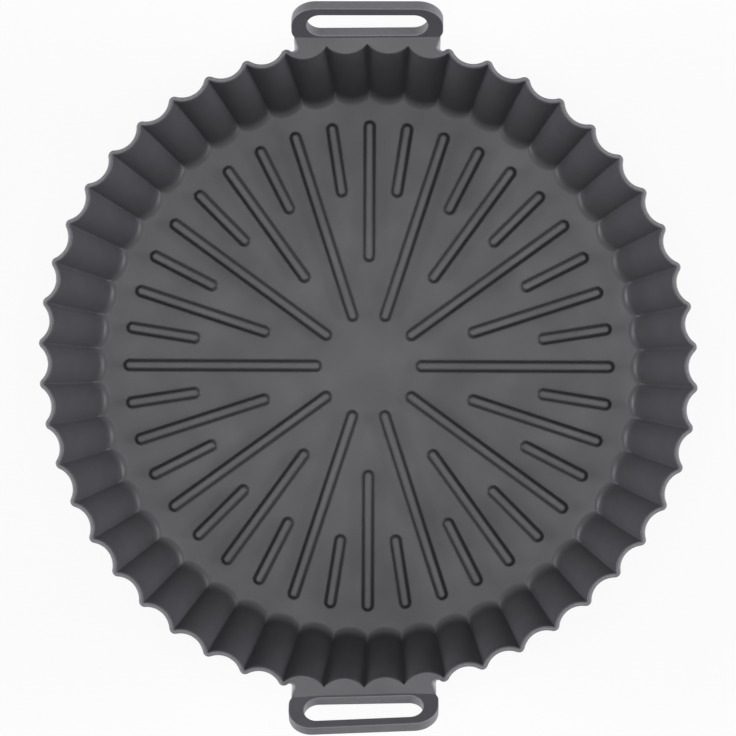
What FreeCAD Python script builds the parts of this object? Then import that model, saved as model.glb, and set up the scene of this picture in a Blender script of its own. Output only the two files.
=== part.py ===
"""Round silicone air fryer basket, moulded in one piece.

A shallow round tub with a thin fluted wall, raised ribs on its floor and two bent-up loop handles.
Millimetres. The origin is the centre of the underside, +Z is up and the handles stand at +Y and -Y.
"""

import FreeCAD, Part
import math
import os

from FreeCAD import Placement, Rotation, Vector

# Tub
SIDE_FLUTES = 25  # on each side of the tub, from the middle of one handle to the other's
RIM_RADIUS = 100.0  # over the outer ridges between the flutes, at the rim
BASE_RADIUS = 88.0  # the same, where the wall's line meets the table
RIM_HEIGHT = 50.0
WALL = 1.5
FLOOR = 2.0
FLUTE_DEPTH = 2.75  # at the rim; it shrinks with the radius further down
BASE_ROUND = 5.0  # outside, where the wall meets the table
FLOOR_ROUND = 3.5  # inside, where the wall meets the floor
ROUND_BANDS = 2  # flat bands that make up each of those rounds

# Ribs on the floor
RIB_HEIGHT = 3.0
RIB_WIDTH = 3.2
RIB_DRAFT = 0.5  # how much each side leans in over the height
RIB_OUTER_END = 77.0
RIB_INNER_ENDS = (15.0, 33.0, 54.0)  # of the three rows
RIB_COUNTS = (10, 10, 20)
RIB_FIRST_ANGLES = (0.0, 0.5, 0.5)  # in spacings

# Handles
FLANGE_FLUTES = 2  # on each side of the flange's middle
FLANGE_FILLET = 0.8  # the hollow corner between the flange's side and the rim
CREASE_REACH = 0.5  # from the outer ridges' circle out to the crease where the loop starts to rise
HANDLE_TILT = 47.0  # degrees, from the level flange up to the loop
HANDLE_THICKNESS = 3.5
HANDLE_WIDTH = 46.0
HANDLE_REACH = 12.1  # along the loop, from the crease to its outer edge
HANDLE_CORNER = 7.7
HEEL_CORNER = 3.3
SLOT_LENGTH = 36.8
SLOT_WIDTH = 8.7
SLOT_START = 0.7  # along the loop, from the crease to the slot

CLEAR = 1.0  # how far a cutting shape runs past what it cuts
LAP = 0.1  # how far the flange runs into the wall's ridges and into the loop
HALF_FLUTE = math.pi / (2 * SIDE_FLUTES)
QUARTER_TURN = math.pi / 2
CREASE = RIM_RADIUS + CREASE_REACH
MITRE = HANDLE_THICKNESS * math.tan(math.radians(HANDLE_TILT) / 2)
WALL_LEAN = math.atan2(RIM_RADIUS - BASE_RADIUS, RIM_HEIGHT)


def polar(radius, angle, z):
    return Vector(radius * math.cos(angle), radius * math.sin(angle), z)


def flute_at(z, inset=0.0):
    """A flute's construction line at a height: the radius of its end points, of its deepest point, and its own.

    The line bulges towards the tub's axis and is the wall's inner face. The inset draws the outline in.
    """
    ridge_radius = BASE_RADIUS + (RIM_RADIUS - BASE_RADIUS) * z / RIM_HEIGHT
    end_radius = ridge_radius - WALL - inset
    deepest_radius = end_radius - FLUTE_DEPTH * ridge_radius / RIM_RADIUS
    across = end_radius * math.cos(HALF_FLUTE) - deepest_radius
    along = end_radius * math.sin(HALF_FLUTE)
    return end_radius, deepest_radius, (across**2 + along**2) / (2 * across)


def fluted_wire(z, offset, inset=0.0):
    """Closed outline, that far outside the flutes' construction line. Outside it, two flats make each ridge."""
    end_radius, deepest_radius, arc_radius = flute_at(z, inset)
    edges = []
    for flute in range(2 * SIDE_FLUTES):
        middle = QUARTER_TURN + (2 * flute + 1) * HALF_FLUTE
        centre = polar(deepest_radius + arc_radius, middle, z)
        next_centre = polar(deepest_radius + arc_radius, middle + 2 * HALF_FLUTE, z)
        first_end, last_end = (polar(end_radius, middle + side * HALF_FLUTE, z) for side in (-1, 1))
        start, finish = (end + (centre - end).normalize() * offset for end in (first_end, last_end))
        deepest = polar(deepest_radius + offset, middle, z)
        edges.append(Part.Arc(start, deepest, finish).toShape())
        if offset:
            ridge = polar(end_radius + offset, middle + HALF_FLUTE, z)
            next_start = last_end + (next_centre - last_end).normalize() * offset
            edges.append(Part.LineSegment(finish, ridge).toShape())
            edges.append(Part.LineSegment(ridge, next_start).toShape())
    return Part.Wire(edges)


def foot_sections(z, offset, round_radius):
    """Outlines up the round where the wall leaves the level face at z."""
    full_turn = QUARTER_TURN - WALL_LEAN
    sections = []
    for band in range(ROUND_BANDS + 1):
        turn = full_turn * band / ROUND_BANDS
        rise = round_radius * (1 - math.cos(turn))
        inset = round_radius * (math.tan(full_turn / 2) - math.sin(turn)) + rise * math.tan(WALL_LEAN)
        sections.append(fluted_wire(z + rise, offset, inset))
    return sections


def tub_skin():
    """Solid inside the tub's outer face."""
    sections = [*foot_sections(0.0, WALL, BASE_ROUND), fluted_wire(RIM_HEIGHT, WALL)]
    return Part.makeLoft(sections, True, True)


def tub_cavity():
    """The room inside the tub."""
    sections = [*foot_sections(FLOOR, 0.0, FLOOR_ROUND), fluted_wire(RIM_HEIGHT + CLEAR, 0.0)]
    return Part.makeLoft(sections, True, True)


def rectangle(x_low, x_high, half_width, z):
    corners = [(x_low, -half_width), (x_high, -half_width), (x_high, half_width), (x_low, half_width)]
    return Part.makePolygon([Vector(x, y, z) for x, y in [*corners, corners[0]]])


def rib(inner_end, angle):
    """One drafted rib that points away from the middle, rooted in the floor's thickness."""
    half_width = RIB_WIDTH / 2
    foot = rectangle(inner_end, RIB_OUTER_END, half_width, FLOOR - CLEAR)
    top = rectangle(inner_end + RIB_DRAFT, RIB_OUTER_END - RIB_DRAFT, half_width - RIB_DRAFT, FLOOR + RIB_HEIGHT)
    body = Part.makeLoft([foot, top], True, True)
    body.rotate(Vector(0, 0, 0), Vector(0, 0, 1), math.degrees(angle))
    return body


def floor_ribs():
    """Rows that start further out as the gaps widen, so that the ribs stay evenly spread."""
    ribs = []
    for count, inner_end, first_angle in zip(RIB_COUNTS, RIB_INNER_ENDS, RIB_FIRST_ANGLES):
        spacing = 4 * QUARTER_TURN / count
        ribs += [rib(inner_end, spacing * (number + first_angle)) for number in range(count)]
    return ribs


def flange_wire(z, end_y):
    """Level outline of the flange: from the tub's axis to a ridge, round the hollow corner, out to end_y."""
    end_radius, deepest_radius, arc_radius = flute_at(z)
    ridge_angle = QUARTER_TURN - 2 * FLANGE_FLUTES * HALF_FLUTE
    flute_centre = polar(deepest_radius + arc_radius, ridge_angle + HALF_FLUTE, z)
    outward = (polar(end_radius, ridge_angle, z) - flute_centre).normalize()
    corner_end = flute_centre + outward * (arc_radius - WALL + LAP)
    fillet_centre = corner_end - outward * FLANGE_FILLET
    corner_start = fillet_centre - Vector(FLANGE_FILLET, 0, 0)
    corner_middle = fillet_centre + (outward - Vector(1, 0, 0)).normalize() * FLANGE_FILLET

    def mirrored(point):
        return Vector(-point.x, point.y, point.z)

    axis = Vector(0, 0, z)
    tip = Vector(corner_start.x, end_y, z)
    half = [
        Part.LineSegment(axis, corner_end).toShape(),
        Part.Arc(corner_end, corner_middle, corner_start).toShape(),
        Part.LineSegment(corner_start, tip).toShape(),
    ]
    other_half = [edge.mirror(axis, Vector(1, 0, 0)) for edge in half]
    end = Part.LineSegment(tip, mirrored(tip)).toShape()
    return Part.Wire([*half, end, *reversed(other_half)])


def handle_flange():
    """The level tongue between the rim and the crease, mitred to meet the loop. The cavity trims it."""
    top = flange_wire(RIM_HEIGHT, CREASE + LAP)
    underside = flange_wire(RIM_HEIGHT - HANDLE_THICKNESS, CREASE + MITRE - LAP)
    return Part.makeLoft([underside, top], True, True)


def rounded_plate(low, high, half_width, low_corner, high_corner):
    """Plate of the handle's thickness under the XY plane, from y = low to y = high, with round corners."""
    corners = [
        (half_width - low_corner, low + low_corner, low_corner),
        (half_width - high_corner, high - high_corner, high_corner),
        (high_corner - half_width, high - high_corner, high_corner),
        (low_corner - half_width, low + low_corner, low_corner),
    ]
    arcs = []
    for number, (x, y, radius) in enumerate(corners):
        turns = [QUARTER_TURN * (number - 1 + step) for step in (0, 0.5, 1)]
        arcs.append(Part.Arc(*(Vector(x, y, 0) + polar(radius, turn, 0) for turn in turns)))
    edges = []
    for arc, next_arc in zip(arcs, [*arcs[1:], arcs[0]]):
        edges.append(arc.toShape())
        if not arc.EndPoint.isEqual(next_arc.StartPoint, 1e-6):
            edges.append(Part.LineSegment(arc.EndPoint, next_arc.StartPoint).toShape())
    return Part.Face(Part.Wire(edges)).extrude(Vector(0, 0, -HANDLE_THICKNESS))


def handle_loop():
    """The bent-up loop with its finger slot."""
    slot_corner = SLOT_WIDTH / 2
    loop = rounded_plate(-MITRE, HANDLE_REACH, HANDLE_WIDTH / 2, HEEL_CORNER, HANDLE_CORNER)
    slot = rounded_plate(SLOT_START, SLOT_START + SLOT_WIDTH, SLOT_LENGTH / 2, slot_corner, slot_corner)
    loop = loop.cut(slot)
    loop.Placement = Placement(Vector(0, CREASE, RIM_HEIGHT), Rotation(Vector(1, 0, 0), HANDLE_TILT))
    return loop


def handles():
    """The flange and loop at +Y, and the same at -Y."""
    pieces = [handle_flange(), handle_loop()]
    return [*pieces, *(piece.rotated(Vector(0, 0, 0), Vector(0, 0, 1), 180) for piece in pieces)]


def basket():
    shell = tub_skin().fuse(handles()).cut(tub_cavity())
    return shell.fuse(floor_ribs()).removeSplitter()


def main():
    os.makedirs("parts", exist_ok=True)
    basket().exportStep("parts/basket.step")


main()
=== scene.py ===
import math

import bmesh
import bpy
from mathutils import Matrix, Vector


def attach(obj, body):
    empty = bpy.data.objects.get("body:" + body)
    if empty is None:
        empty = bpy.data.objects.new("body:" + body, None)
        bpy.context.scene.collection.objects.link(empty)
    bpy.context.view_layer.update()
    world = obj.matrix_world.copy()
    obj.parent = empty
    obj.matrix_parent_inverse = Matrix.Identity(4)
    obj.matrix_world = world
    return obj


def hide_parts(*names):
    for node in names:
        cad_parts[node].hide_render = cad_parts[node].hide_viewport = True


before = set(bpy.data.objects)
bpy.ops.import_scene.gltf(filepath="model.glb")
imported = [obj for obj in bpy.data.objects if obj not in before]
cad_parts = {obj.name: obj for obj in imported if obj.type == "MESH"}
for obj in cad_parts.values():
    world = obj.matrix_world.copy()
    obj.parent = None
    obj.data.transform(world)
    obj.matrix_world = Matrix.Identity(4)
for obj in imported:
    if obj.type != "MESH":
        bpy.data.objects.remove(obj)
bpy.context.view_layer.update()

MM = 0.001
DEGREE = math.radians(1)
QUARTER_TURN = 90 * DEGREE

# Tub
FLUTES = 50
RIM_RADIUS = 100 * MM  # over the outer ridges between the flutes
BASE_RADIUS = 88 * MM  # the same, where the wall's line meets the table
RIM_HEIGHT = 50 * MM
WALL = 1.5 * MM
FLOOR = 2 * MM
FLUTE_DEPTH = 2.75 * MM
GROOVE_ROUND = 0.3 * MM  # at the bottom of the sharp grooves inside the tub
BASE_ROUND = 5 * MM
FLOOR_ROUND = 3.5 * MM
RIM_EDGE = 0.3 * MM  # the tub's side of the rim
RIM_OUTER_EDGE = 0.6 * MM

# Ribs on the floor
RIB_HEIGHT = 3 * MM
RIB_WIDTH = 3.2 * MM
RIB_DRAFT = 0.3 * MM
RIB_EDGE = 0.7 * MM
RIB_FILLET = 0.6 * MM
RIB_OUTER_END = 77 * MM
RIB_ROWS = (  # how many, the radius where they start, and the first one's angle in spacings
    (10, 15 * MM, 0.0),
    (10, 33 * MM, 0.5),
    (20, 54 * MM, 0.5),
)

# Handles
FLANGE_FLUTES = 2  # on each side of the flange's middle
FLANGE_FILLET = 0.8 * MM
FLANGE_EDGE = 1.8 * MM
CREASE = RIM_RADIUS + 0.5 * MM
CREASE_ROUND = 0.25 * MM
HANDLE_THICKNESS = 3.5 * MM
HANDLE_WIDTH = 45.8 * MM
HANDLE_REACH = 12.3 * MM
HANDLE_CORNER = 7.7 * MM
HANDLE_EDGE = 0.3 * MM
HEEL_CORNER = 4 * MM
HEEL_START = -1.6 * MM  # along the loop, from the crease
SLOT_LENGTH = 36.5 * MM
SLOT_WIDTH = 8.65 * MM
SLOT_START = 0.8 * MM
BACK_HANDLE_TILT = 51 * DEGREE
FRONT_HANDLE_TILT = 45.5 * DEGREE
BACK_HANDLE_TWIST = 1.3 * DEGREE  # how much steeper the loop's end at the right stands than its middle
FRONT_HANDLE_TWIST = 3.6 * DEGREE

# How far the soft rim has sagged out of round: waves round the rim, their size, and where one peaks
RIM_WAVES = (
    (2, 0.27 * MM, -20 * DEGREE),
    (3, 0.79 * MM, 50 * DEGREE),
    (4, 0.65 * MM, -108 * DEGREE),
    (5, 0.3 * MM, -86 * DEGREE),
)
FRONT_PULL = 1.65 * MM  # how much further in the rim stands behind the front handle
BACK_PUSH = 0.3 * MM  # how much further out it stands at the back one
PULL_SPREAD = 15 * DEGREE

# Painted sheen along the outward edges, in place of the light they catch from the white surroundings: from
# 0, none, to 1, palest
SHEEN_PAINT_LAYER = "painted_edge_sheen"
RIM_PAINTED_SHEEN = 0.45
RIM_INNER_PAINTED_SHEEN = 0.18
FLANGE_PAINTED_SHEEN = 0.8
LOOP_PAINTED_SHEEN = 0.3
EDGE_HIGHLIGHT_PAINT = 1.5  # painted highlight: how much paler the very edge is than the side below it

# How finely round stretches are divided
ARC_STEPS = 16
GROOVE_STEPS = 4
ROUND_STEPS = 7
EDGE_STEPS = 4
WALL_STEPS = 8
CORNER_STEPS = 14
BEND_STEPS = 8
SUPPORT = 0.12 * MM  # width of the flat band kept beside each rounded edge
WELD = 0.001 * MM

HALF_FLUTE = math.pi / FLUTES
SKIN = GROOVE_ROUND + WALL  # from the flutes' construction line out to the outer face
RIM_TOP_START = GROOVE_ROUND + RIM_EDGE + SUPPORT  # the same, out to where the rim's level top begins
WALL_LEAN = math.atan2(RIM_RADIUS - BASE_RADIUS, RIM_HEIGHT)
FLANGE_UNDERSIDE = RIM_HEIGHT - HANDLE_THICKNESS
LOOP_EDGE = (HANDLE_EDGE, HANDLE_EDGE, LOOP_PAINTED_SHEEN)  # rounding of its top and bottom edges, and its painted sheen

# Rubber
DARK_RUBBER = "#4a4a4e"
LIGHT_RUBBER = "#4e4e52"
# grey of the painted sheen on the edges, standing in for the light they catch
PAINTED_SHEEN_GREY = "#a6a6aa"
SHEEN_ROUGHNESS = (0.38, 0.46)
SHEEN_EDGE_ROUGHNESS = 0.15  # how much rougher the edges under the painted sheen are
RUBBER_IOR = 1.41
GRAIN_SIZE = 0.25 * MM  # coarser than a sparked mould's real grain, about 0.1 mm, so that it shows
GRAIN_DEPTH = 0.008 * MM
CLOUD_SIZE = 6 * MM  # of the faint patches in the colour
WIPE_SIZE = 18 * MM  # of the patches in the sheen
SHEEN_PATCH_SIZE = 0.8 * MM  # of the ragged patches in the painted sheen along an edge
SHEEN_PATCH_DETAIL = 4.0
SHEEN_RAGGEDNESS = (0.8, 1.15)  # how much of the edge's painted sheen they let through

# Studio, in metres where nothing else is said
VIEW_DISTANCE = 1.2  # above the rim
VIEW_WIDTH = 0.2230  # what the picture spans at the rim's height
VIEW_MIDDLE = Vector((0.56 * MM, -0.55 * MM, RIM_HEIGHT))
VIEW_STEP = 20 * MM  # how far the camera stands to the right of what it looks at
VIEW_TURN = 0.23 * DEGREE
SENSOR_WIDTH = 36  # mm, as the lens is
SIDE_LAMP_DISTANCE = 1.41
SIDE_LAMP_HEIGHT = 0.55
SIDE_LAMP_SIZE = 0.7
RIGHT_LAMP_POWER = 19  # watts
LEFT_LAMP_POWER = 18
TOP_LAMP_HEIGHT = 1.9
TOP_LAMP_SIZE = 0.9
TOP_LAMP_POWER = 12
ROOM_LIGHT = 0.12  # what the white room around adds to the lamps
FLOOR_WIDTH = 6.0
PAPER_WHITE = "#f2f2f2"
PAPER_GLOW = 0.88  # how much of the floor shows as pure white; the rest takes the shadow
WHITE = "#ffffff"


def heading(angle):
    return Vector((math.cos(angle), math.sin(angle), 0))


def place(radius, angle, z):
    return Vector((radius * math.cos(angle), radius * math.sin(angle), z))


def between(start, end, steps):
    """Evenly spaced values from start to end, both included."""
    return [start + (end - start) * step / steps for step in range(steps + 1)]


def flute_at(z, inset=0.0):
    """A flute's construction line at a height: the radius of its ends, of its deepest point, and its own.

    The fourth value is half the angle of its arc.
    """
    ridge_radius = BASE_RADIUS + (RIM_RADIUS - BASE_RADIUS) * z / RIM_HEIGHT
    end_radius = ridge_radius - SKIN - inset
    deepest_radius = end_radius - FLUTE_DEPTH * ridge_radius / RIM_RADIUS
    across = end_radius * math.cos(HALF_FLUTE) - deepest_radius
    along = end_radius * math.sin(HALF_FLUTE)
    arc_radius = (across**2 + along**2) / (2 * across)
    return end_radius, deepest_radius, arc_radius, math.atan2(along, arc_radius - across)


def flute_line(z, inset=0.0, middle=0.0):
    """Points across one flute from ridge to ridge, each with the angle in which it faces outwards."""
    end_radius, deepest_radius, arc_radius, half_arc = flute_at(z, inset)
    centre = place(deepest_radius + arc_radius, middle, z)
    first, last = (place(end_radius, middle + side * HALF_FLUTE, z) for side in (-1, 1))
    line = [(first, middle + turn) for turn in between(-HALF_FLUTE, half_arc, GROOVE_STEPS)]
    for turn in between(half_arc, -half_arc, ARC_STEPS)[1:-1]:
        line.append((centre - heading(middle + turn) * arc_radius, middle + turn))
    return line + [(last, middle + turn) for turn in between(-half_arc, HALF_FLUTE, GROOVE_STEPS)]


def flute_row(offset, inset, z, middle=0.0):
    """The same points, moved that far outwards."""
    return [point + heading(angle) * offset for point, angle in flute_line(z, inset, middle)]


def foot_rows(offset, round_radius, z):
    """Offset, inset and height of each row up the round where the wall leaves the level face at z."""
    full_turn = QUARTER_TURN - WALL_LEAN
    setback = round_radius * math.tan(full_turn / 2)
    rows = [(offset, setback + SUPPORT, z)]
    for turn in between(0, full_turn, ROUND_STEPS):
        rise = round_radius * (1 - math.cos(turn))
        inset = setback - round_radius * math.sin(turn) + rise * math.tan(WALL_LEAN)
        rows.append((offset, inset, z + rise))
    return rows


def rim_edge_rows(offset, radius):
    """Rows round one edge of the rim, from the wall's face onto its level top.

    The inner edge's radius is negative.
    """
    rows = []
    for turn in between(0, QUARTER_TURN, EDGE_STEPS):
        depth = radius * (1 - math.cos(turn))
        rows.append((offset - depth, 0, RIM_HEIGHT - abs(radius) * (1 - math.sin(turn))))
    rows.append((offset - radius - math.copysign(SUPPORT, radius), 0, RIM_HEIGHT))
    return rows


def wall_rows(offset, first_z, last_z):
    return [(offset, 0, z) for z in between(first_z, last_z, WALL_STEPS)[1:]]


def outer_rows():
    """Rows up the tub's outside, from the table to the flanges' underside."""
    foot = foot_rows(SKIN, BASE_ROUND, 0)
    return foot + wall_rows(SKIN, foot[-1][2], FLANGE_UNDERSIDE)


def inner_rows():
    """Rows up the tub's inside, from the floor onto the rim's level top."""
    foot = foot_rows(GROOVE_ROUND, FLOOR_ROUND, FLOOR)
    wall = wall_rows(GROOVE_ROUND, foot[-1][2], RIM_HEIGHT - RIM_EDGE)
    return foot + wall + rim_edge_rows(GROOVE_ROUND, -RIM_EDGE)[1:]


def rim_rows():
    """Rows above the flanges' underside: up the outside and across the rim's level top to its inner edge."""
    outer_edge = rim_edge_rows(SKIN, RIM_OUTER_EDGE)
    top = [(offset, 0, RIM_HEIGHT) for offset in (RIM_TOP_START + SUPPORT, RIM_TOP_START)]
    return [(SKIN, 0, FLANGE_UNDERSIDE)] + outer_edge + top


def blank_mesh():
    """New bmesh that can hold how much painted sheen each vertex gets."""
    mesh = bmesh.new()
    mesh.verts.layers.float.new(SHEEN_PAINT_LAYER)
    return mesh


def add_skin(mesh, rows, closed=False):
    """Vertices for rows of points and the faces between them. Returns the vertices in the same rows."""
    verts = [[mesh.verts.new(point) for point in row] for row in rows]
    for row, next_row in zip(verts, verts[1:]):
        corners = list(zip(row, row[1:], next_row[1:], next_row))
        if closed:
            corners.append((row[-1], row[0], next_row[0], next_row[-1]))
        for corner in corners:
            mesh.faces.new(corner)
    return verts


def paint_edge_sheen(mesh, verts, painted_sheen):
    """Stores how much painted sheen each vertex gets, for the material. Both lists are in the same rows."""
    layer = mesh.verts.layers.float[SHEEN_PAINT_LAYER]
    for row, values in zip(verts, painted_sheen):
        for vert, value in zip(row, values):
            vert[layer] = value


def fill_level(mesh, loops):
    """Fills the level area inside the first closed loop of vertices and outside the others."""
    edges = []
    for loop in loops:
        for pair in zip(loop, loop[1:] + loop[:1]):
            edges.append(mesh.edges.get(pair) or mesh.edges.new(pair))
    bmesh.ops.triangle_fill(mesh, edges=edges, use_beauty=True, normal=(0, 0, 1))


def finished(mesh, name):
    """Turns the bmesh into mesh data and frees it."""
    bmesh.ops.remove_doubles(mesh, verts=mesh.verts[:], dist=WELD)
    data = bpy.data.meshes.new(name)
    mesh.to_mesh(data)
    mesh.free()
    return data


def flute_strip():
    """One flute of the wall, outside up to the flanges' underside and inside up to the rim's top."""
    mesh = blank_mesh()
    add_skin(mesh, [flute_row(*row) for row in outer_rows()])
    add_skin(mesh, [flute_row(*row) for row in inner_rows()])
    return finished(mesh, "flute")


def rim_strip():
    """The top of one flute's outer face and the rim above it, for where there is no handle."""
    mesh = blank_mesh()
    verts = add_skin(mesh, [flute_row(*row) for row in rim_rows()])
    # painted sheen: paler towards the rim's outer edge, in place of the light it catches
    painted_sheen = []
    for offset, _, _ in rim_rows():
        share = (offset - RIM_TOP_START) / (SKIN - RIM_TOP_START)
        painted_sheen.append(RIM_INNER_PAINTED_SHEEN + (RIM_PAINTED_SHEEN - RIM_INNER_PAINTED_SHEEN) * share)
    painted_sheen[0] = painted_sheen[-1] = 0
    paint_edge_sheen(mesh, verts, [[value] * len(row) for row, value in zip(verts, painted_sheen)])
    return finished(mesh, "rim_flute")


def rib_strip(inner_end):
    """One rib along +X: a hollow fillet at its foot, drafted sides, a rounded top edge and a level top."""
    half = RIB_WIDTH / 2
    top_half = half - RIB_DRAFT
    profile = [(half + RIB_FILLET + SUPPORT, FLOOR)]
    for turn in between(0, QUARTER_TURN, EDGE_STEPS):
        foot = RIB_FILLET * (1 - math.sin(turn))
        profile.append((half + foot, FLOOR + RIB_FILLET * (1 - math.cos(turn))))
    for turn in between(0, QUARTER_TURN, EDGE_STEPS):
        depth = RIB_EDGE * (1 - math.cos(turn))
        profile.append((top_half - depth, FLOOR + RIB_HEIGHT - RIB_EDGE * (1 - math.sin(turn))))
    profile.append((top_half - RIB_EDGE - SUPPORT, FLOOR + RIB_HEIGHT))

    ends = ((RIB_OUTER_END - half, -QUARTER_TURN), (inner_end + half, QUARTER_TURN))
    line = [
        (Vector((x, 0, 0)), turn)
        for x, first_turn in ends
        for turn in between(first_turn, first_turn + 2 * QUARTER_TURN, CORNER_STEPS)
    ]
    mesh = blank_mesh()
    rows = []
    for offset, z in profile:
        rows.append([point + heading(turn) * offset + Vector((0, 0, z)) for point, turn in line])
    verts = add_skin(mesh, rows, closed=True)
    fill_level(mesh, [verts[-1]])
    return finished(mesh, "rib")


def handle_line(z):
    """The handle's edge laid flat, at a height: from the ridge beside it to the ridge on its other side.

    Each entry is a point, the angle in which it faces outwards, the rounding of its top and bottom edges,
    and how much painted sheen it gets.
    """
    end_radius, _, _, half_arc = flute_at(z)
    ridge_angle = QUARTER_TURN - 2 * FLANGE_FLUTES * HALF_FLUTE
    corner_angle = ridge_angle + HALF_FLUTE + half_arc
    ridge = place(end_radius, ridge_angle, z)
    fillet = ridge + heading(corner_angle) * (SKIN + FLANGE_FILLET)
    side_x = fillet.x - FLANGE_FILLET
    heel = Vector((HANDLE_WIDTH / 2 - HEEL_CORNER, CREASE + HEEL_START + HEEL_CORNER, z))
    corner = Vector((HANDLE_WIDTH / 2 - HANDLE_CORNER, CREASE + HANDLE_REACH - HANDLE_CORNER, z))
    heel_angle = -math.acos((side_x - heel.x) / HEEL_CORNER)

    # each point carries its painted sheen: the rim's, rising to the palest painted band along the flange's
    # sides
    half = []
    for turn in between(ridge_angle, corner_angle, GROOVE_STEPS):
        half.append((ridge + heading(turn) * SKIN, turn, RIM_OUTER_EDGE, 0, RIM_PAINTED_SHEEN))
    for turn in between(corner_angle, 0, ROUND_STEPS)[1:]:
        share = 1 - turn / corner_angle
        top_edge = RIM_OUTER_EDGE + (FLANGE_EDGE - RIM_OUTER_EDGE) * share
        painted_sheen = RIM_PAINTED_SHEEN + (FLANGE_PAINTED_SHEEN - RIM_PAINTED_SHEEN) * share
        point = fillet - heading(turn) * FLANGE_FILLET
        half.append((point, turn, top_edge, HANDLE_EDGE * share, painted_sheen))
    for turn in between(heel_angle, 0, ROUND_STEPS):
        facing = turn if turn > heel_angle else heel_angle / 2
        half.append((heel + heading(turn) * HEEL_CORNER, facing, *LOOP_EDGE))
    for turn in between(0, QUARTER_TURN, CORNER_STEPS):
        half.append((corner + heading(turn) * HANDLE_CORNER, turn, *LOOP_EDGE))

    other_half = []
    for point, angle, *edge in reversed(half):
        other_half.append((Vector((-point.x, point.y, point.z)), math.pi - angle, *edge))
    return half + other_half


def slot_line(z):
    """The finger slot's edge laid flat. It faces in towards the slot's middle."""
    radius = SLOT_WIDTH / 2
    line = []
    for side, first_turn in ((1, -QUARTER_TURN), (-1, QUARTER_TURN)):
        centre = Vector((side * (SLOT_LENGTH / 2 - radius), CREASE + SLOT_START + radius, z))
        for turn in between(first_turn, first_turn + 2 * QUARTER_TURN, 2 * CORNER_STEPS):
            line.append((centre + heading(turn) * radius, turn + math.pi, *LOOP_EDGE))
    return line


def edge_column(low, high):
    """One column of points up the handle's edge, with both edges rounded, between its lines' two points.

    Each comes with how much painted sheen it gets: even up the side, a painted highlight at the top edge,
    and less over its rounding.
    """
    point_low, angle, top_edge, bottom_edge, painted_sheen = low
    point_high = high[0]
    bottom_support = SUPPORT * bottom_edge / HANDLE_EDGE
    profile = [(bottom_edge + bottom_support, FLANGE_UNDERSIDE)]
    for turn in between(0, QUARTER_TURN, EDGE_STEPS):
        depth = bottom_edge * (1 - math.sin(turn))
        profile.append((depth, FLANGE_UNDERSIDE + bottom_edge * (1 - math.cos(turn))))
    for turn in between(0, QUARTER_TURN, EDGE_STEPS):
        depth = top_edge * (1 - math.cos(turn))
        profile.append((depth, RIM_HEIGHT - top_edge * (1 - math.sin(turn))))
    profile.append((top_edge + SUPPORT, RIM_HEIGHT))

    column = []
    for depth, z in profile:
        point = point_low.lerp(point_high, (z - FLANGE_UNDERSIDE) / HANDLE_THICKNESS)
        # painted highlight: the top edge's rounding gets more of the pale colour than the side below it
        share = EDGE_HIGHLIGHT_PAINT * max(0, 1 - depth / top_edge) if z > RIM_HEIGHT - top_edge else 1
        column.append((point - heading(angle) * depth, painted_sheen * share))
    return column


def add_edge(mesh, line, closed=False):
    """Adds the handle's or the slot's edge, in rows of vertices from its underside to its top."""
    columns = [edge_column(low, high) for low, high in zip(line(FLANGE_UNDERSIDE), line(RIM_HEIGHT))]
    rows = list(zip(*columns))
    verts = add_skin(mesh, [[point for point, _ in row] for row in rows], closed)
    paint_edge_sheen(mesh, verts, [[painted_sheen for _, painted_sheen in row] for row in rows])
    return verts


def flutes_behind_handle(offset, z):
    """Points along the four flutes that the handle covers, from its left ridge to its right one."""
    points = []
    for number in range(2 * FLANGE_FLUTES):
        middle = QUARTER_TURN + (2 * (FLANGE_FLUTES - number) - 1) * HALF_FLUTE
        row = flute_row(offset, 0, z, middle)
        points += reversed(row[:-1] if number else row)
    return points


def bend(point, tilt, twist):
    """Where a point of the handle laid flat goes when its loop is bent up at the crease."""
    angle = tilt + twist * point.x / (HANDLE_WIDTH / 2)
    half_zone = CREASE_ROUND * tilt / 2
    along = point.y - CREASE + half_zone
    if along <= 0:
        return point
    turn = angle * min(1, along / (2 * half_zone))
    past = max(0, along - 2 * half_zone)
    radius = CREASE_ROUND + RIM_HEIGHT - point.z
    y = CREASE - half_zone + radius * math.sin(turn) + past * math.cos(turn)
    z = RIM_HEIGHT + CREASE_ROUND - radius * math.cos(turn) + past * math.sin(turn)
    return Vector((point.x, y, z))


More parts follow.
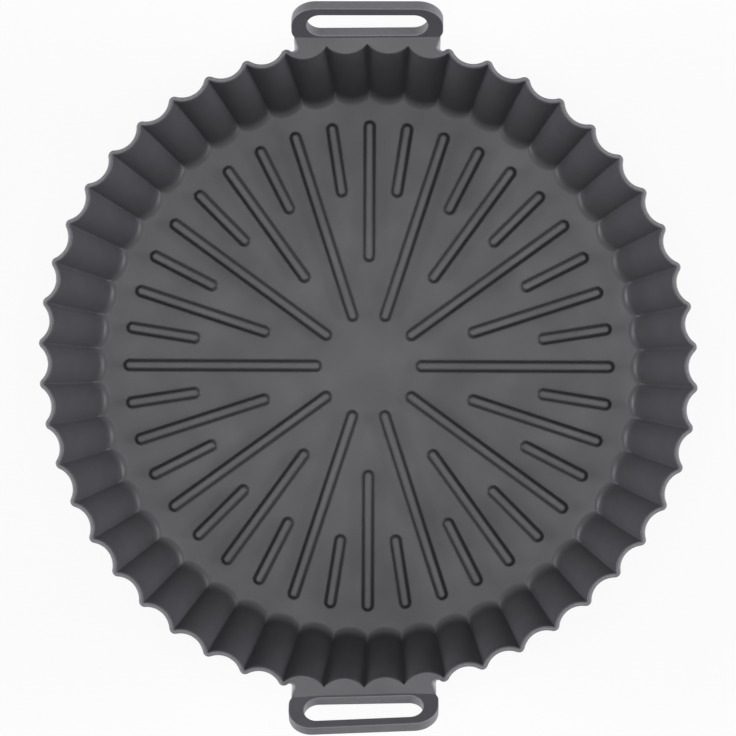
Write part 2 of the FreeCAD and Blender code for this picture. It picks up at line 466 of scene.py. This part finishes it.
def handle(tilt, twist, side):
    """Flange and loop as one plate, laid flat, filled, cut across at the crease and bent up there."""
    mesh = blank_mesh()
    edge = add_edge(mesh, handle_line)
    slot = add_edge(mesh, slot_line, closed=True)

    beside = flutes_behind_handle(RIM_TOP_START + SUPPORT, RIM_HEIGHT)
    rim_line = [beside[0], *flutes_behind_handle(RIM_TOP_START, RIM_HEIGHT), beside[-1]]
    fill_level(mesh, [edge[-1] + [mesh.verts.new(point) for point in rim_line], slot[-1]])
    covered = flutes_behind_handle(SKIN, FLANGE_UNDERSIDE)[GROOVE_STEPS + 1 : -GROOVE_STEPS - 1]
    wall_line = [mesh.verts.new(point) for point in covered]
    fill_level(mesh, [edge[0][GROOVE_STEPS:-GROOVE_STEPS] + wall_line, slot[0]])

    half_zone = CREASE_ROUND * tilt / 2
    cuts = [-half_zone - SUPPORT, *between(-half_zone, half_zone, BEND_STEPS), half_zone + SUPPORT]
    for cut in cuts:
        pieces = mesh.verts[:] + mesh.edges[:] + mesh.faces[:]
        where = (0, CREASE + cut, 0)
        bmesh.ops.bisect_plane(mesh, geom=pieces, dist=WELD, plane_co=where, plane_no=(0, 1, 0))
    for vert in mesh.verts:
        vert.co = bend(vert.co, tilt, twist)
    bmesh.ops.rotate(mesh, verts=mesh.verts[:], matrix=Matrix.Rotation(side, 3, "Z"))
    return finished(mesh, "handle")


def node(tree, kind, inputs=None, **settings):
    """Adds a node, sets it up, and gives its inputs their values or links."""
    made = tree.nodes.new(kind)
    for name, value in settings.items():
        setattr(made, name, value)
    for name, value in (inputs or {}).items():
        if isinstance(value, bpy.types.NodeSocket):
            tree.links.new(value, made.inputs[name])
        else:
            made.inputs[name].default_value = value
    return made


def copies_round_axis():
    """Geometry Nodes tree that repeats a piece round the tub's axis and welds neighbours together."""
    tree = bpy.data.node_groups.new("copies_round_axis", "GeometryNodeTree")
    sockets = {
        "Geometry": "NodeSocketGeometry",
        "Copies": "NodeSocketInt",
        "First angle": "NodeSocketFloat",
        "Step angle": "NodeSocketFloat",
        "Weld distance": "NodeSocketFloat",
        "Material": "NodeSocketMaterial",
    }
    for name, kind in sockets.items():
        tree.interface.new_socket(name, in_out="INPUT", socket_type=kind)
    tree.interface.new_socket("Geometry", in_out="OUTPUT", socket_type="NodeSocketGeometry")

    given = node(tree, "NodeGroupInput").outputs
    index = node(tree, "GeometryNodeInputIndex").outputs[0]
    angle = node(
        tree,
        "ShaderNodeMath",
        {0: index, 1: given["Step angle"], 2: given["First angle"]},
        operation="MULTIPLY_ADD",
    )
    euler = node(tree, "ShaderNodeCombineXYZ", {"Z": angle.outputs[0]})
    turn = node(tree, "FunctionNodeEulerToRotation", {0: euler.outputs[0]})
    points = node(tree, "GeometryNodePoints", {"Count": given["Copies"]})
    copies = node(
        tree,
        "GeometryNodeInstanceOnPoints",
        {"Points": points.outputs[0], "Instance": given["Geometry"], "Rotation": turn.outputs[0]},
    )
    real = node(tree, "GeometryNodeRealizeInstances", {0: copies.outputs[0]})
    weld_inputs = {0: real.outputs[0], "Distance": given["Weld distance"]}
    welded = node(tree, "GeometryNodeMergeByDistance", weld_inputs)
    coated = node(tree, "GeometryNodeSetMaterial", {0: welded.outputs[0], "Material": given["Material"]})
    node(tree, "NodeGroupOutput", {0: coated.outputs[0]})
    return tree


def repeated(tree, data, copies, first_angle, step_angle, material):
    """Mesh data of the piece's copies round the axis."""
    carrier = bpy.data.objects.new(data.name, data)
    bpy.context.collection.objects.link(carrier)
    modifier = carrier.modifiers.new("copies", "NODES")
    modifier.node_group = tree
    values = {
        "Copies": copies,
        "First angle": first_angle,
        "Step angle": step_angle,
        "Weld distance": WELD,
        "Material": material,
    }
    for item in tree.interface.items_tree:
        if item.in_out == "INPUT" and item.name in values:
            modifier[item.identifier] = values[item.name]
    evaluated = carrier.evaluated_get(bpy.context.evaluated_depsgraph_get())
    result = bpy.data.meshes.new_from_object(evaluated)
    bpy.data.objects.remove(carrier)
    return result


def sag(point):
    """Moves a point with the soft rim, which is out of round. The floor stays put."""
    angle = math.atan2(point.y, point.x)
    share = min(1, max(0, point.z / RIM_HEIGHT)) ** 2
    outwards = sum(size * math.cos(waves * angle - peak) for waves, size, peak in RIM_WAVES)
    along = -sum(size / waves * math.sin(waves * angle - peak) for waves, size, peak in RIM_WAVES)
    outwards -= FRONT_PULL * math.exp(-(((angle + QUARTER_TURN) / PULL_SPREAD) ** 2))
    outwards += BACK_PUSH * math.exp(-(((angle - QUARTER_TURN) / PULL_SPREAD) ** 2))
    return point + (heading(angle) * outwards + heading(angle + QUARTER_TURN) * along) * share


def level_loops(mesh, z):
    """The open loops of vertices that lie at a height, the longest first."""
    edges = {e for e in mesh.edges if e.is_boundary and all(abs(v.co.z - z) < WELD for v in e.verts)}
    loops = []
    while edges:
        edge = edges.pop()
        loop = [edge.verts[0], edge.verts[1]]
        while True:
            onward = next((e for e in loop[-1].link_edges if e in edges), None)
            if onward is None:
                break
            edges.remove(onward)
            loop.append(onward.other_vert(loop[-1]))
        loops.append(loop[:-1])
    return sorted(loops, key=len, reverse=True)


def basket_mesh(material):
    """The whole moulding as one closed mesh."""
    tree = copies_round_axis()
    step = 2 * HALF_FLUTE
    side_flutes = FLUTES // 2 - 2 * FLANGE_FLUTES
    first_side_flute = -(side_flutes - 1) * HALF_FLUTE
    parts = [repeated(tree, flute_strip(), FLUTES, QUARTER_TURN + HALF_FLUTE, step, material)]
    for side in (0, math.pi):
        parts.append(repeated(tree, rim_strip(), side_flutes, side + first_side_flute, step, material))
    for count, inner_end, first_angle in RIB_ROWS:
        spacing = 4 * QUARTER_TURN / count
        parts.append(repeated(tree, rib_strip(inner_end), count, first_angle * spacing, spacing, material))
    parts.append(handle(BACK_HANDLE_TILT, BACK_HANDLE_TWIST, 0))
    parts.append(handle(FRONT_HANDLE_TILT, -FRONT_HANDLE_TWIST, math.pi))

    mesh = blank_mesh()
    for part in parts:
        mesh.from_mesh(part)
        bpy.data.meshes.remove(part)
    bmesh.ops.remove_doubles(mesh, verts=mesh.verts[:], dist=WELD)
    mesh.faces.new(level_loops(mesh, 0)[0])
    fill_level(mesh, level_loops(mesh, FLOOR))
    for vert in mesh.verts:
        vert.co = sag(vert.co)
    bmesh.ops.recalc_face_normals(mesh, faces=mesh.faces[:])
    for face in mesh.faces:
        face.smooth = True
        face.material_index = 0
    return finished(mesh, "silicone_basket")


def linear(hex_colour):
    """Linear colour, with alpha, from an sRGB hex value."""
    channels = [int(hex_colour[i : i + 2], 16) / 255 for i in (1, 3, 5)]
    return [*(c / 12.92 if c <= 0.04045 else ((c + 0.055) / 1.055) ** 2.4 for c in channels), 1.0]


def noise(tree, size, detail=2.0):
    """Noise on the piece itself whose patches are about that large, as a value from 0 to 1."""
    where = node(tree, "ShaderNodeTexCoord").outputs["Object"]
    made = node(tree, "ShaderNodeTexNoise", {"Vector": where, "Scale": 1 / size, "Detail": detail})
    return made.outputs[0]


def spread(tree, value, low, high, start=0.3, end=0.7):
    """Maps the middle stretch of a noise value onto low to high."""
    inputs = {0: value, 1: start, 2: end, 3: low, 4: high}
    return node(tree, "ShaderNodeMapRange", inputs).outputs[0]


def moulded_silicone():
    """Food-grade silicone rubber from a steel mould: dark grey, dry to the touch, with a soft broad sheen.

    Its skin has the mould's fine sparked grain. The colour clouds a little where the rubber flowed and the
    sheen where it was wiped. The edges get a paler, rougher painted sheen in place of the light they catch.
    """
    material = bpy.data.materials.new("moulded_silicone")
    material.use_nodes = True
    tree = material.node_tree
    shader = tree.nodes["Principled BSDF"]

    clouds = spread(tree, noise(tree, CLOUD_SIZE), 0, 1)
    rubber_inputs = {0: clouds, 6: linear(DARK_RUBBER), 7: linear(LIGHT_RUBBER)}
    rubber = node(tree, "ShaderNodeMix", rubber_inputs, data_type="RGBA").outputs[2]

    # painted sheen: the edges are mixed towards a pale grey that stands in for the light they catch
    edge = node(tree, "ShaderNodeAttribute", attribute_name=SHEEN_PAINT_LAYER).outputs["Fac"]
    ragged = spread(tree, noise(tree, SHEEN_PATCH_SIZE, SHEEN_PATCH_DETAIL), *SHEEN_RAGGEDNESS)
    sheen_mask_inputs = {0: edge, 1: ragged}
    sheen_mask = node(tree, "ShaderNodeMath", sheen_mask_inputs, operation="MULTIPLY", use_clamp=True).outputs[0]
    colour_inputs = {0: sheen_mask, 6: rubber, 7: linear(PAINTED_SHEEN_GREY)}
    colour = node(tree, "ShaderNodeMix", colour_inputs, data_type="RGBA").outputs[2]

    wiped = spread(tree, noise(tree, WIPE_SIZE), *SHEEN_ROUGHNESS)
    rough_inputs = {0: sheen_mask, 1: SHEEN_EDGE_ROUGHNESS, 2: wiped}
    roughness = node(tree, "ShaderNodeMath", rough_inputs, operation="MULTIPLY_ADD").outputs[0]

    grain_inputs = {"Strength": 1.0, "Distance": GRAIN_DEPTH, "Height": noise(tree, GRAIN_SIZE)}
    grain = node(tree, "ShaderNodeBump", grain_inputs).outputs[0]

    shader.inputs["IOR"].default_value = RUBBER_IOR
    tree.links.new(colour, shader.inputs["Base Color"])
    tree.links.new(roughness, shader.inputs["Roughness"])
    tree.links.new(grain, shader.inputs["Normal"])
    return material


def basket(material):
    piece = bpy.data.objects.new("silicone_basket", basket_mesh(material))
    bpy.context.collection.objects.link(piece)
    piece.data.materials.clear()
    piece.data.materials.append(material)
    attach(piece, "root")
    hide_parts("basket")


def seen_directly(tree):
    """1 for what the camera sees straight, mirrored or through glass, and 0 for what lights other things."""
    path = node(tree, "ShaderNodeLightPath").outputs
    bent_inputs = {0: path["Is Glossy Ray"], 1: path["Is Transmission Ray"]}
    bent = node(tree, "ShaderNodeMath", bent_inputs, operation="MAXIMUM").outputs[0]
    seen_inputs = {0: path["Is Camera Ray"], 1: bent}
    return node(tree, "ShaderNodeMath", seen_inputs, operation="MAXIMUM").outputs[0]


def pale_floor():
    """White sweep that shows as white to the camera and still takes the basket's shadow."""
    data = bpy.data.meshes.new("floor")
    half = FLOOR_WIDTH / 2
    corners = [(-half, -half, 0), (half, -half, 0), (half, half, 0), (-half, half, 0)]
    data.from_pydata(corners, [], [(0, 1, 2, 3)])
    floor = bpy.data.objects.new("floor", data)
    bpy.context.collection.objects.link(floor)
    material = bpy.data.materials.new("matt_white_paper")
    material.use_nodes = True
    tree = material.node_tree
    tree.nodes.clear()
    paper = node(tree, "ShaderNodeBsdfDiffuse", {"Color": linear(PAPER_WHITE)}).outputs[0]
    glow = node(tree, "ShaderNodeEmission", {"Color": linear(WHITE), "Strength": 1.0}).outputs[0]
    share_inputs = {0: seen_directly(tree), 1: PAPER_GLOW}
    share = node(tree, "ShaderNodeMath", share_inputs, operation="MULTIPLY").outputs[0]
    mixed = node(tree, "ShaderNodeMixShader", {0: share, 1: paper, 2: glow}).outputs[0]
    node(tree, "ShaderNodeOutputMaterial", {"Surface": mixed})
    data.materials.append(material)


def area_light(name, location, size, power):
    """Soft square lamp that looks at the basket."""
    lamp = bpy.data.lights.new(name, "AREA")
    lamp.size = size
    lamp.energy = power
    holder = bpy.data.objects.new(name, lamp)
    holder.location = location
    holder.rotation_euler = (-Vector(location)).to_track_quat("-Z", "Y").to_euler()
    bpy.context.collection.objects.link(holder)


def studio():
    """A soft lamp on each side, one overhead, and a white room."""
    world = bpy.data.worlds.new("white_room")
    bpy.context.scene.world = world
    world.use_nodes = True
    tree = world.node_tree
    tree.nodes.clear()
    room = node(tree, "ShaderNodeBackground", {"Color": linear(WHITE), "Strength": ROOM_LIGHT}).outputs[0]
    white = node(tree, "ShaderNodeBackground", {"Color": linear(WHITE), "Strength": 1.0}).outputs[0]
    mixed = node(tree, "ShaderNodeMixShader", {0: seen_directly(tree), 1: room, 2: white}).outputs[0]
    node(tree, "ShaderNodeOutputWorld", {"Surface": mixed})
    area_light("right", (SIDE_LAMP_DISTANCE, 0, SIDE_LAMP_HEIGHT), SIDE_LAMP_SIZE, RIGHT_LAMP_POWER)
    area_light("left", (-SIDE_LAMP_DISTANCE, 0, SIDE_LAMP_HEIGHT), SIDE_LAMP_SIZE, LEFT_LAMP_POWER)
    area_light("overhead", (0, 0, TOP_LAMP_HEIGHT), TOP_LAMP_SIZE, TOP_LAMP_POWER)


def camera():
    """Looks straight down on the basket, as the photograph does."""
    data = bpy.data.cameras.new("camera")
    data.sensor_width = SENSOR_WIDTH
    data.lens = SENSOR_WIDTH * VIEW_DISTANCE / VIEW_WIDTH
    holder = bpy.data.objects.new("camera", data)
    holder.location = VIEW_MIDDLE + Vector((VIEW_STEP, 0, VIEW_DISTANCE))
    holder.rotation_euler = (0, math.atan2(VIEW_STEP, VIEW_DISTANCE), VIEW_TURN)
    bpy.context.collection.objects.link(holder)
    bpy.context.scene.camera = holder


basket(moulded_silicone())
pale_floor()
studio()
camera()

bpy.context.scene.view_settings.view_transform = "Standard"
